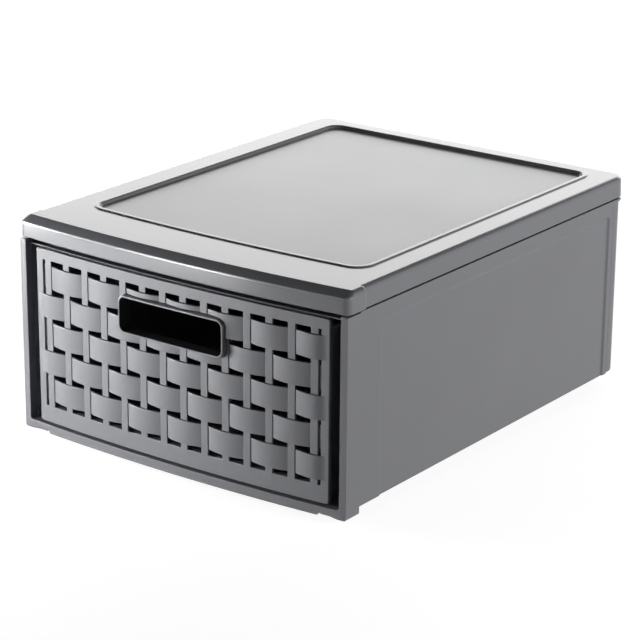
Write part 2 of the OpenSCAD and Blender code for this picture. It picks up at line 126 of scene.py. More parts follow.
class CaseSizes(bpy.types.PropertyGroup):
    """Sizes of the cover, the panels and the front frame."""

    bow_radius: length("Bow radius", "Plan radius of the bowed front", 1800, 1000, 4000)
    brow_run: length("Brow", "Depth of the slanting brow along the front edge", 9.6, 6, 14)
    side_fillet: length("Side fillet", "Radius of the cover's top edge at the sides", 4.2, 1, 5)
    skirt_lip: length("Skirt lip", "Radius of the skirt's lower edge", 0.8, 0.2, 1.2)
    cover_wall: length("Cover wall", "Wall of the cover", 2.6, 2, 3)
    ceiling_drop: length("Ceiling", "From the cover's rim down to its underside", 6.6, 6, 8)
    band_out: length("Band step", "Step of the cover's front band on each side", 1.8, 1, 4)
    band_depth: length("Band depth", "Length of the front band along the side", 20.5, 16, 34)
    front_corner: length("Front corner", "Plan radius of the cover's front corners", 5.5, 5, 9)
    post_corner: length("Post corner", "Plan radius of the posts' front corners", 3, 1, 5)
    rear_corner: length("Rear corner", "Plan radius of the cover's rear corners", 14, 8, 18)
    fascia_lift: length("Fascia lift", "How much higher the skirt's edge is between the posts", 0.7, 0, 3)
    rim_side: length("Side rim", "Width of the rim beside the sunken panel", 22.5, 18, 30)
    rim_front: length("Front rim", "Width of the rim ahead of the sunken panel", 53, 45, 70)
    rim_rear: length("Rear rim", "Width of the rim behind the sunken panel", 15.5, 14, 30)
    lip_width: length("Lip width", "Width of the lip round the sunken panel", 4.2, 3, 6)
    lip_high: length("Lip height", "Height of the lip above the rim", 1, 0.5, 3)
    recess_depth: length("Recess depth", "Depth of the sunken panel", 2, 1.5, 5)
    recess_slope: length("Recess slope", "Run of the sunken panel's wall", 2.2, 1.5, 8)
    recess_corner: length("Recess corner", "Plan radius of the sunken panel's corners", 16, 12, 26)
    panel_wall: length("Panel wall", "Wall of the side and back panels", 3, 2.4, 3.6)
    body_corner: length("Body corner", "Plan radius of the back panel's corners", 10, 6, 14)
    back_return: length("Back return", "Length of the back panel's returns", 15, 14, 24)
    bead_high: length("Bead height", "Height of the bead along the top of the panels", 2.2, 1, 5)
    skirt_gap: length("Skirt gap", "Gap under the cover's skirt", 1.4, 0.5, 2)
    bead_out: length("Bead step", "Step of the bead beyond the panels", 1.8, 0.3, 2)
    field_depth: length("Field depth", "Depth of the sunken field in each side panel", 1.5, 0.5, 2)
    field_front: length("Field front", "From the panel's front edge to the field", 41, 25, 60)
    field_rear: length("Field rear", "From the field to the panel's rear edge", 5, 4, 20)
    field_top: length("Field top", "From the skirt down to the field", 14, 8, 40)
    field_corner: length("Field corner", "Radius of the field's upper front corner", 12, 5, 20)
    field_rear_corner: length("Field rear corner", "Radius of the field's upper rear corner", 4, 3.5, 20)
    post_width: length("Post width", "Width of each post's front face", 6.6, 6, 10)
    post_depth: length("Post thickness", "Thickness of the posts and the rail", 6, 4, 8)
    wing_wall: length("Wing wall", "Wall of each post's wing beside the panel", 3.8, 3, 5)
    rail_height: length("Rail height", "Height of the bottom rail's front face", 6.2, 5, 8)
    rail_lean: length("Rail lean", "How far the rail's foot lies back", 2, 0, 4)
    foot_drop: length("Post foot", "How far the posts reach below the rail", 1.4, 0, 2.4)
    post_in: length("Post step", "The posts' step in from the cover's band", 0.6, 0, 2)
    foot_in: length("Foot strip", "From the posts' sides in to the foot strip's ends", 24.5, 20, 60)
    foot_height: length("Foot strip height", "Height of the foot strip", 2.6, 2, 3)
    foot_depth: length("Foot strip depth", "Foot strip from front to back", 9, 6, 10)


class FrontSizes(bpy.types.PropertyGroup):
    """Sizes of the drawer's woven front and its grip."""

    straps: IntProperty(name="Straps", description="Number of upright straps", default=14, min=10, max=18)
    rows: IntProperty(name="Rows", description="Number of woven bands", default=5, min=3, max=7)
    thickness: length("Border thickness", "Thickness of the border", 2.8, 2, 4)
    strap_thickness: length("Strap thickness", "Thickness of the straps", 2, 1.5, 2.6)
    corner: length("Front corner", "Corner radius of the drawer's front", 2, 1, 6)
    strap_width: length("Strap width", "Width of a strap", 6.6, 5, 8)
    slot_height: length("Slot height", "Height of the slots between the bands", 4.4, 3, 6)
    edge_slot: length("Edge slot", "From the outer straps to the border", 2.6, 2, 5)
    border_side: length("Side border", "Width of the border beside the weave", 7, 6, 10)
    top_gap: length("Top gap", "Border's top, below the top of its space", 1.4, 0, 3)
    bottom_drop: length("Bottom drop", "Border's foot, below its space", 1.5, 0, 2)
    side_edge: length("Side edge", "Radius of the border's upright edges", 1.1, 0.5, 2.4)
    border_top: length("Top border", "From the weave to the top of the border's space", 10, 8, 14)
    border_bottom: length("Bottom border", "Height of the border below the weave", 12.4, 8, 16)
    band_rise: length("Band rise", "How far a band stands out over a strap", 2.1, 1, 3)
    band_sink: length("Band sink", "How far a band lies back behind a strap", 1.8, 1, 1.9)
    band_thickness: length("Band thickness", "Thickness of a band", 2.5, 1.5, 3)
    grip_wall: length("Grip wall", "Thickness of the grip's lip", 1.5, 1, 3)
    grip_lip: length("Lip radius", "Radius of the grip's lip", 0.5, 0.2, 1)
    grip_flange: length("Grip flange", "Thickness of the grip's rear flange", 2, 1.5, 3)
    grip_rim: length("Flange rim", "Width of the rear flange's rim", 1.2, 0.8, 2)
    grip_corner: length("Grip corner", "Corner radius of the grip", 7, 4, 10)
    grip_draft: length("Grip draft", "How far the grip's flanks lean in", 0.8, 0, 3)


class Finish(bpy.types.PropertyGroup):
    """Colours of the box and the studio."""

    shell: colour("Shell", "Satin polypropylene of the case", "#737478")
    weave: colour("Weave", "Brushed polypropylene of the drawer's front", "#75767A")
    inside: colour("Inside", "Plain polypropylene of the tub and the base", "#66676A")
    # painted shade: the grip's inner walls get this nearly black colour where the hollow lies in shade
    liner: colour("Liner", "Dark polypropylene inside the grip", "#2A2B2D")
    floor: colour("Floor", "Studio floor, which also glows", "#9A9A9A")
    ceiling: colour("Ceiling", "Black cloth over the studio", "#0C0C0C")


def show(piece, materials, body, *nodes, slot=None):
    """Gives a piece its materials, its body, and the nodes that it stands for."""
    for name in materials:
        piece.data.materials.append(bpy.data.materials[name])
    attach(piece, body)
    if nodes:
        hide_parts(*nodes)


def to_object(bm, name):
    """Turns a bmesh into an object with smooth faces and sharp edges past an angle."""
    bmesh.ops.remove_doubles(bm, verts=bm.verts[:], dist=0.002 * MM)
    face_out(bm)
    mesh = bpy.data.meshes.new(name)
    bm.to_mesh(mesh)
    bm.free()
    mesh.shade_smooth()
    mesh.set_sharp_from_angle(angle=SMOOTH_BELOW)
    made = new_object(name, mesh)
    made.modifiers.new("even shading", "WEIGHTED_NORMAL").keep_sharp = True
    return made


def new_object(name, data):
    """An object in the scene."""
    made = bpy.data.objects.new(name, data)
    bpy.context.scene.collection.objects.link(made)
    return made


def face_out(bm):
    """Turns all faces outward."""
    bmesh.ops.recalc_face_normals(bm, faces=bm.faces[:])


def open_edges(bm):
    """The edges at which a sheet ends."""
    return [e for e in bm.edges if len(e.link_faces) == 1]


def of_kind(geometry, kind):
    """The members of one kind among the vertices, edges and faces that an operator returns."""
    return [g for g in geometry if isinstance(g, kind)]


def move(bm, verts, vec):
    """Moves vertices."""
    bmesh.ops.translate(bm, vec=vec, verts=verts)


def stretch(bm, verts, factors):
    """Scales vertices about the origin."""
    bmesh.ops.scale(bm, vec=factors, verts=verts)


def plate(bm, low, high, radius=0.0, segments=6):
    """A flat face in the XY plane between two corners, with round corners. Returns the face."""
    made = bmesh.ops.create_grid(bm, x_segments=1, y_segments=1, size=0.5)["verts"]
    middle = ((low[0] + high[0]) / 2, (low[1] + high[1]) / 2, 0)
    stretch(bm, made, (high[0] - low[0], high[1] - low[1], 1))
    move(bm, made, middle)
    if radius:
        made = round_corners(bm, made, radius, segments)
    return made[0].link_faces[0]


def round_corners(bm, corners, radius, segments=6, affect="VERTICES"):
    """Rounds corners of flat faces, or edges between faces. Returns the new vertices."""
    return bmesh.ops.bevel(
        bm,
        geom=list(corners),
        offset=radius,
        segments=segments,
        profile=0.5,
        affect=affect,
        clamp_overlap=affect == "EDGES",
        material=-1,
    )["verts"]


def round_edges(bm, edges, radius, segments=3):
    """Rounds edges between faces."""
    round_corners(bm, edges, radius, segments, affect="EDGES")


def round_one(bm, face, side, radius, segments=10):
    """Rounds one upper corner of a flat face: -1 for the left one, 1 for the right. Returns the face."""
    corner = max(face.verts, key=lambda v: side * v.co.x + 10 * v.co.y)
    return round_corners(bm, [corner], radius, segments)[0].link_faces[0]


def faces_where(bm, test):
    """The faces whose middle passes a test."""
    return [f for f in bm.faces if test(f.calc_center_median())]


def creases(bm, test):
    """The edges at which faces meet at a sharp angle, and whose ends pass a test."""
    sharp = [e for e in bm.edges if len(e.link_faces) == 2 and e.calc_face_angle(0) > CREASE_ABOVE]
    return [e for e in sharp if all(test(v.co) for v in e.verts)]


def pull(bm, faces, vec):
    """Extrudes faces by a vector. Where they belong to a body, it grows. Returns the new faces."""
    start = set(faces)
    grows = any(f not in start for face in start for e in face.edges for f in e.link_faces)
    made = bmesh.ops.extrude_face_region(bm, geom=list(start))["geom"]
    move(bm, of_kind(made, bmesh.types.BMVert), vec)
    if grows:
        bmesh.ops.delete(bm, geom=list(start), context="FACES")
    return of_kind(made, bmesh.types.BMFace)


def draw_in(bm, face, inset, rise):
    """Draws a face's outline in and lifts it. Returns the face."""
    if inset > TINY / 10:
        bmesh.ops.inset_region(bm, faces=[face], thickness=inset, use_even_offset=True, use_boundary=True)
        move(bm, face.verts, (0, 0, rise))
        return face
    return pull(bm, [face], (0, 0, rise))[0]


def bridge(bm, face_a, face_b):
    """Removes two faces and joins their outlines."""
    edges = list(face_a.edges) + list(face_b.edges)
    bmesh.ops.delete(bm, geom=[face_a, face_b], context="FACES_ONLY")
    bmesh.ops.bridge_loops(bm, edges=edges)


def slice_at(bm, places, axis=0):
    """Cuts the mesh by planes across an axis."""
    normal = Vector((0, 0, 0))
    normal[axis] = 1
    for place in places:
        cut(bm, normal * place, normal)


def cut(bm, place, normal, clear=False):
    """Cuts the mesh by a plane, and can clear what lies on the side that the normal points to."""
    geometry = bm.verts[:] + bm.edges[:] + bm.faces[:]
    bmesh.ops.bisect_plane(bm, geom=geometry, dist=1e-7, plane_co=place, plane_no=normal, clear_outer=clear)


def even_places(half, count):
    """Places that part the stretch from -half to half evenly."""
    return [half * (2 * i / count - 1) for i in range(1, count)]


def stand_up(bm, y):
    """Turns what was drawn flat in XY, facing up, so that it faces the front at a depth."""
    bmesh.ops.rotate(bm, cent=(0, 0, 0), matrix=Matrix.Rotation(math.pi / 2, 3, "X"), verts=bm.verts)
    move(bm, bm.verts, (0, y, 0))


def bow(bm, radius, full_to=1.0, none_from=2.0):
    """Bends a mesh back along the bowed front: in full ahead of one depth, and not at all past another."""
    for vert in bm.verts:
        share = (none_from - vert.co.y) / (none_from - full_to)
        sag = radius - math.sqrt(radius**2 - vert.co.x**2)
        vert.co.y += sag * min(max(share, 0.0), 1.0)


def bend(bm, size, full_to, none_from):
    """Slices a mesh of the case finely, and bows it."""
    slice_at(bm, even_places(HALF_W, BOW_SLICES))
    bow(bm, size.bow_radius, full_to, none_from)


def s_curve(share):
    """Rises from 0 to 1 with a gentle start and end."""
    return 0.5 - 0.5 * math.cos(math.pi * share)


def merge_into(bm, other):
    """Adds a finished bmesh to another."""
    carrier = bpy.data.meshes.new("carrier")
    other.to_mesh(carrier)
    other.free()
    bm.from_mesh(carrier)
    bpy.data.meshes.remove(carrier)


def block(bm, low, high, radius=0.0):
    """A box, with rounded edges where a radius is given, added to a bmesh."""
    part = bmesh.new()
    bmesh.ops.create_cube(part, size=1.0)
    stretch(part, part.verts, Vector(high) - Vector(low))
    move(part, part.verts, (Vector(low) + Vector(high)) / 2)
    if radius:
        round_edges(part, part.edges, radius, 2)
    merge_into(bm, part)


def cut_away(piece, cutter):
    """Takes a cutter's shape out of a piece. Removes both, and returns the mesh that is left."""
    piece.modifiers.clear()
    step = piece.modifiers.new("cut", "BOOLEAN")
    step.object = cutter
    step.operation = "DIFFERENCE"
    step.solver = "EXACT"
    bpy.context.view_layer.update()
    done = piece.evaluated_get(bpy.context.evaluated_depsgraph_get())
    mesh = bpy.data.meshes.new_from_object(done)
    bpy.data.objects.remove(piece)
    bpy.data.objects.remove(cutter)
    return mesh


# Materials


def add_node(tree, kind, values=None, links=None, **settings):
    """Adds a shader node with its settings, its sockets' values and its links."""
    made = tree.nodes.new("ShaderNode" + kind)
    for name, value in settings.items():
        setattr(made, name, value)
    for socket, value in (values or {}).items():
        made.inputs[socket].default_value = value
    for socket, source in (links or {}).items():
        tree.links.new(source, made.inputs[socket])
    return made


def math_node(tree, operation, first, second):
    """Adds a Math node. Returns its output."""
    return add_node(tree, "Math", operation=operation, links={0: first, 1: second}).outputs[0]


def start_material(name, tint, values):
    """A new material with its shader's values. Returns the material, its tree and the shader."""
    made = bpy.data.materials.new(name)
    made.use_nodes = True
    made.diffuse_color = (*tint, 1)
    tree = made.node_tree
    tree.nodes.clear()
    shader = add_node(tree, "BsdfPrincipled", values=values)
    add_node(tree, "OutputMaterial", links={"Surface": shader.outputs["BSDF"]})
    return made, tree, shader


def noise(tree, place, spot_mm, detail, roughness):
    """A noise whose largest spots are some millimetres wide."""
    values = {"Scale": 1 / (spot_mm * MM), "Detail": detail, "Roughness": roughness}
    return add_node(tree, "TexNoise", values=values, links={"Vector": place}).outputs["Fac"]


def brought_to(tree, source, reach, low, high):
    """Brings what a noise does within a reach of its middle to a range."""
    values = {"From Min": 0.5 - reach, "From Max": 0.5 + reach, "To Min": low, "To Max": high}
    return add_node(tree, "MapRange", values=values, links={"Value": source}).outputs["Result"]


def polypropylene(name, tint, gloss, grain_mm, grain_height_mm, streak):
    """Moulded polypropylene.

    The eye sees an even grey with a very slight cloudiness in its tone, a soft sheen, and the fine grain
    that the mould's spark-eroded or brushed steel leaves on it.
    """
    made, tree, shader = start_material(name, tint, {"IOR": 1.49})
    place = add_node(tree, "TexCoord").outputs["Object"]
    values = {"Scale": (1, 1, 1 / streak)}
    stretched = add_node(tree, "Mapping", values=values, links={"Vector": place}).outputs["Vector"]
    grain = noise(tree, stretched, grain_mm, 3.0, 0.6)
    cloud = noise(tree, place, CLOUD_MM, 1.0, 0.4)
    tone = brought_to(tree, cloud, 0.2, 0.98, 1.02)
    fine_tone = brought_to(tree, grain, 0.25, 0.975, 1.025)
    both = math_node(tree, "MULTIPLY", tone, fine_tone)
    shade = add_node(tree, "VectorMath", operation="SCALE", values={0: tint}, links={"Scale": both})
    values = {"Strength": 0.6, "Distance": grain_height_mm * MM}
    relief = add_node(tree, "Bump", values=values, links={"Height": grain})
    tree.links.new(shade.outputs["Vector"], shader.inputs["Base Color"])
    tree.links.new(brought_to(tree, cloud, 0.2, gloss - 0.01, gloss + 0.01), shader.inputs["Roughness"])
    tree.links.new(relief.outputs["Normal"], shader.inputs["Normal"])
    return made


CLOUD_MM = 70
# the plastics: name, colour, roughness, grain and its height in mm, and how far the grain is drawn out
PLASTICS = (
    # the case: a smooth satin skin. Its grain is finer in life, and is drawn 0.9 mm wide
    (SATIN, "shell", 0.18, 0.9, 0.002, 1),
    # the cover's sunken panel: the same plastic, matt from a spark-eroded mould
    (TEXTURED, "shell", 0.30, 0.8, 0.006, 1),
    # the woven front: upright brush lines 0.5 mm apart, as the mould's brushed steel leaves them
    (BRUSHED, "weave", 0.26, 0.5, 0.008, 24),
    # the tub, the base and the runners: plain and darker, with a dull sheen
    (PLAIN, "inside", 0.42, 1.2, 0.006, 1),
    # the inside of the grip: painted shade, nearly black for the shaded hollow, with a dull sheen
    (PAINTED_GRIP_SHADE, "liner", 0.45, 1.2, 0.006, 1),
)


# The case


class BOX_OT_cover(bpy.types.Operator):
    """Model the cover: skirt, band, rim and sunken panel in one moulding"""

    bl_idname = "drawer_box.cover"
    bl_label = "Cover"

    def execute(self, context):
        size = context.scene.drawer_box_case
        half = HALF_W - size.band_out
        step_y = FRONT_Y + size.band_depth
        bm = bmesh.new()
        rim = self.outside(bm, size, half, step_y)
        self.sunken_panel(bm, size, half, rim)
        self.underside(bm, size)
        self.front_band(bm, size, half, step_y)
        full_to = FRONT_Y + size.rim_front + BOW_PAST_RIM
        bow(bm, size.bow_radius, full_to, BACK_Y - size.rim_rear - BOW_BEFORE_REAR)
        cover = to_object(bm, "cover_shell")
        show(cover, (SATIN, TEXTURED), CASE, "top_cover", slot="shell")
        return {"FINISHED"}

    def outside(self, bm, size, half, step_y):
        """The skirt, which leans in a little, then the brow in front and the round edge elsewhere."""
        face = plate(bm, (-half, FRONT_Y), (half, BACK_Y))
        round_corners(bm, [v for v in face.verts if v.co.y < 0], size.front_corner, 8)
        round_corners(bm, [v for v in bm.verts if v.co.y > BACK_Y - TINY], size.rear_corner, 10)
        face = bm.faces[:][0]
        move(bm, bm.verts, (0, 0, SKIRT_Z + size.skirt_lip))
        brow = brow_profile(size.brow_run)
        face = draw_in(bm, face, SKIRT_DRAFT, TOP_Z - brow[0][1] - SKIRT_Z - size.skirt_lip)
        before = (SKIRT_DRAFT, SKIRT_DRAFT, brow[0][1])
        for in_front, drop in brow[1:]:
            in_side = SKIRT_DRAFT + fillet_inset(size.side_fillet, drop)
            face = draw_in(bm, face, in_side - before[1], before[2] - drop)
            shift = (in_front - before[0]) - (in_side - before[1])
            ahead = [v for v in face.verts if v.co.y < step_y]
            move(bm, ahead, (0, shift, 0))
            before = (in_front, in_side, drop)
        return draw_in(bm, face, FLAT_STRIP, 0)

    def sunken_panel(self, bm, size, half, rim):
        """The lip round the sunken panel, its S-shaped wall and the panel itself, let into the rim."""
        low = (size.rim_side - half, FRONT_Y + size.rim_front)
        high = (half - size.rim_side, BACK_Y - size.rim_rear)
        face = plate(bm, low, high, size.recess_corner, 14)
        move(bm, face.verts, (0, 0, TOP_Z))
        face = draw_in(bm, face, FLAT_STRIP / 2, 0)
        top, across = size.lip_high, size.lip_width
        path = [(along * top, up * top) for along, up in LIP_FLANK]
        path += [(across - 0.5 * MM, top), (across, LIP_EDGE * top)]
        for i in range(1, WALL_STEPS + 1):
            fall = (LIP_EDGE * top + size.recess_depth) * s_curve(i / WALL_STEPS)
            path.append((across + size.recess_slope * i / WALL_STEPS, LIP_EDGE * top - fall))
        before, high = 0.0, 0.0
        for inset, height in path:
            face = draw_in(bm, face, inset - before, height - high)
            before, high = inset, height
        face = draw_in(bm, face, FLAT_STRIP, 0)
        face.material_index = 1
        loop = [e for e in open_edges(bm) if e.verts[0].co.z > TOP_Z - TINY] + list(rim.edges)
        bmesh.ops.delete(bm, geom=[rim], context="FACES_ONLY")
        bmesh.ops.bridge_loops(bm, edges=list(set(loop)))

    def underside(self, bm, size):
        """The skirt's lower lip, the wall's inner face and the ceiling."""
        under = bmesh.ops.edgeloop_fill(bm, edges=open_edges(bm))["faces"][0]
        for inset, drop in ((0.3, 0.7), (0.7, 0.3)):
            under = draw_in(bm, under, size.skirt_lip * inset, -size.skirt_lip * drop)
        under = draw_in(bm, under, size.cover_wall - size.skirt_lip, 0)
        draw_in(bm, under, 0, TOP_Z - size.ceiling_drop - SKIRT_Z)

    def front_band(self, bm, size, half, step_y):
        """The band stands out on both sides, and its lower edge lies a little higher between the posts."""
        slice_at(bm, [step_y + STEP_RUN * i / 8 for i in range(9)], axis=1)
        for vert in bm.verts:
            if abs(vert.co.x) > half - size.front_corner - 1 * MM:
                share = min(max((step_y + STEP_RUN - vert.co.y) / STEP_RUN, 0), 1)
                vert.co.x += math.copysign(size.band_out * math.sqrt(share * (2 - share)), vert.co.x)
        slice_at(bm, even_places(HALF_W, BOW_SLICES))
        span = HALF_W - FASCIA_END
        slice_at(bm, [-span, -span + 1 * MM, span - 1 * MM, span])
        for vert in bm.verts:
            ahead = vert.co.y < FRONT_Y + size.cover_wall + 1 * MM
            if ahead and abs(vert.co.x) < span - 0.5 * MM and vert.co.z < SKIRT_Z + size.skirt_lip + TINY:
                vert.co.z += size.fascia_lift


SKIRT_DRAFT = 0.4 * MM
# the brow's arcs from the front face up: radius, slope in degrees at both ends, steps. The third one's
# radius comes from the run.
BROW_ARCS = ((8 * MM, 90, 75, 4), (0.6 * MM, 75, 30, 4), (None, 30, 16, 10), (1.5 * MM, 16, 0, 3))
# the lip's outer flank: how far in and how high, as shares of its height
LIP_FLANK = ((0.2, 0.08), (0.45, 0.55), (0.72, 0.82), (1.05, 0.96), (1.4, 1.0))
# the height of the lip's inner edge, as a share of its height
LIP_EDGE = 0.93
WALL_STEPS = 10
STEP_RUN = 2.4 * MM
FASCIA_END = 6.5 * MM
# the bow keeps its full depth this far past the front rim, and ends this far ahead of the rear one
BOW_PAST_RIM = 12 * MM
BOW_BEFORE_REAR = 40 * MM


def brow_profile(run):
    """The brow's section from the front face up, as pairs: how far in, and how far below the rim."""
    turns = []
    for _, start, end, steps in BROW_ARCS:
        turns.append([math.radians(start + (end - start) * i / steps) for i in range(steps + 1)])
    spans = [math.sin(turn[0]) - math.sin(turn[-1]) for turn in turns]
    small = sum(arc[0] * span for arc, span in zip(BROW_ARCS, spans) if arc[0])
    points = [(0.0, 0.0)]
    for arc, turn, span in zip(BROW_ARCS, turns, spans):
        radius = arc[0] or (run - small) / span
        for a, b in zip(turn, turn[1:]):
            along, up = points[-1]
            along += radius * (math.sin(a) - math.sin(b))
            up += radius * (math.cos(b) - math.cos(a))
            points.append((along, up))
    return [(along, points[-1][1] - height) for along, height in points]


def fillet_inset(radius, drop):
    """How far a round edge draws a face in, at a drop below the edge."""
    if drop >= radius:
        return 0.0
    return radius - math.sqrt(radius**2 - (radius - drop) ** 2)


class BOX_OT_side_panels(bpy.types.Operator):
    """Model both side panels, with their sunken field and the bead under the cover"""

    bl_idname = "drawer_box.side_panels"
    bl_label = "Side panels"

    def execute(self, context):
        size = context.scene.drawer_box_case
        for side, node in ((1, "right_side_panel"), (-1, "left_side_panel")):
            panel = to_object(self.panel(size, side), node.replace("panel", "shell"))
            show(panel, (SATIN,), CASE, node, slot="shell")
        return {"FINISHED"}

    def panel(self, size, side):
        """One panel, drawn flat as it is seen from its outer side."""
        low_y, high_y = PANEL_LOW.y, PANEL_HIGH.y
        low_z, high_z = PANEL_LOW.z, SKIRT_Z - size.skirt_gap
        bead_z = high_z - size.bead_high
        bm = bmesh.new()
        whole = plate(bm, (low_y, low_z - SPARE), (high_y, high_z))
        field_low = (low_y + size.field_front, low_z - SPARE / 2)
        field = plate(bm, field_low, (high_y - size.field_rear, SKIRT_Z - size.field_top))
        field = round_one(bm, field, -1, size.field_corner)
        field = round_one(bm, field, 1, size.field_rear_corner)
        outlines = list(whole.edges) + list(field.edges)
        bmesh.ops.delete(bm, geom=[whole], context="FACES_ONLY")
        bmesh.ops.triangle_fill(bm, use_beauty=True, edges=outlines, normal=(0, 0, 1))
        field = draw_in(bm, field, FLAT_STRIP, 0)
        for i in range(FIELD_STEPS):
            drop = size.field_depth * (s_curve((i + 1) / FIELD_STEPS) - s_curve(i / FIELD_STEPS))
            field = draw_in(bm, field, FIELD_SLOPE / FIELD_STEPS, -drop)
        cut(bm, (0, low_z, 0), (0, -1, 0), clear=True)
        slice_at(bm, [bead_z], axis=1)
        pull(bm, faces_where(bm, lambda co: co.y > bead_z), (0, 0, size.bead_out))

        # the edges turn in, and the inner face closes the wall
        turned = bmesh.ops.extrude_edge_only(bm, edges=open_edges(bm))["geom"]
        for vert in of_kind(turned, bmesh.types.BMVert):
            vert.co.z = -size.panel_wall
        bmesh.ops.holes_fill(bm, edges=open_edges(bm), sides=0)
        face_out(bm)
        outer = creases(bm, lambda co: co.z > -size.panel_wall / 2 and co.y < bead_z - TINY)
        round_edges(bm, outer, SEAM_ROUND)
        round_edges(bm, creases(bm, lambda co: co.z > size.bead_out * 0.9), BEAD_ROUND)

        # from the drawing's x, y, z to the box's y, z and outwards
        turn = Matrix(((0, 0, 1), (1, 0, 0), (0, 1, 0)))
        bmesh.ops.transform(bm, matrix=turn.to_4x4(), verts=bm.verts)
        move(bm, bm.verts, (PANEL_HIGH.x, 0, 0))
        if side < 0:
            stretch(bm, bm.verts, (-1, 1, 1))
        return bm


# what is drawn past a panel's end and cut off again
SPARE = 40 * MM
FIELD_SLOPE = 2 * MM
FIELD_STEPS = 6
SEAM_ROUND = 0.6 * MM
BEAD_ROUND = 0.8 * MM


class BOX_OT_back_panel(bpy.types.Operator):
    """Model the back panel, which turns round both rear corners"""

    bl_idname = "drawer_box.back_panel"
    bl_label = "Back panel"

    def execute(self, context):
        size = context.scene.drawer_box_case
        half, rear = BACK_HIGH.x, BACK_HIGH.y
        front = rear - size.back_return
        low_z, high_z = BACK_LOW.z, SKIRT_Z - size.skirt_gap
        bead_z = high_z - size.bead_high

        def outer(co, depth):
            """Whether a place lies within a depth of the outer face."""
            return abs(co.x) > half - depth or co.y > rear - depth

        bm = bmesh.new()
        for out, z0, z1 in ((0, low_z, bead_z), (size.bead_out, bead_z - BEAD_OVERLAP, high_z)):
            # the bead's wall is thinner, so that no vertex of it meets one of the panel
            wall = size.panel_wall - (BEAD_OVERLAP if out else 0)
            part = bmesh.new()
            for inset in (-out, wall):
                face = plate(part, (inset - half, front - SPARE + inset), (half - inset, rear - inset))
                rear_corners = [v for v in face.verts if v.co.y > front]
                round_corners(part, rear_corners, size.body_corner - inset, 12)
            faces = sorted(part.faces, key=lambda f: f.calc_area())
            bridge(part, faces[0], faces[1])
            pull(part, part.faces[:], (0, 0, z1 - z0))
            cut(part, (0, front, 0), (0, -1, 0), clear=True)
            bmesh.ops.holes_fill(part, edges=open_edges(part), sides=0)
            face_out(part)
            move(part, part.verts, (0, 0, z0))
            if out:
                round_edges(part, creases(part, lambda co: outer(co, 1 * MM)), BEAD_ROUND)
            else:
                depth = size.panel_wall - TINY
                lower = creases(part, lambda co: co.z < low_z + TINY and outer(co, depth))
                round_edges(part, lower, PANEL_FOOT_ROUND, 5)
                seam = creases(part, lambda co: co.y < front + TINY and abs(co.x) > half - TINY)
                round_edges(part, seam, SEAM_ROUND)
            merge_into(bm, part)
        panel = to_object(bm, "back_shell")
        show(panel, (SATIN,), CASE, "back_panel", slot="shell")
        return {"FINISHED"}


BEAD_OVERLAP = 0.3 * MM
PANEL_FOOT_ROUND = 2.4 * MM


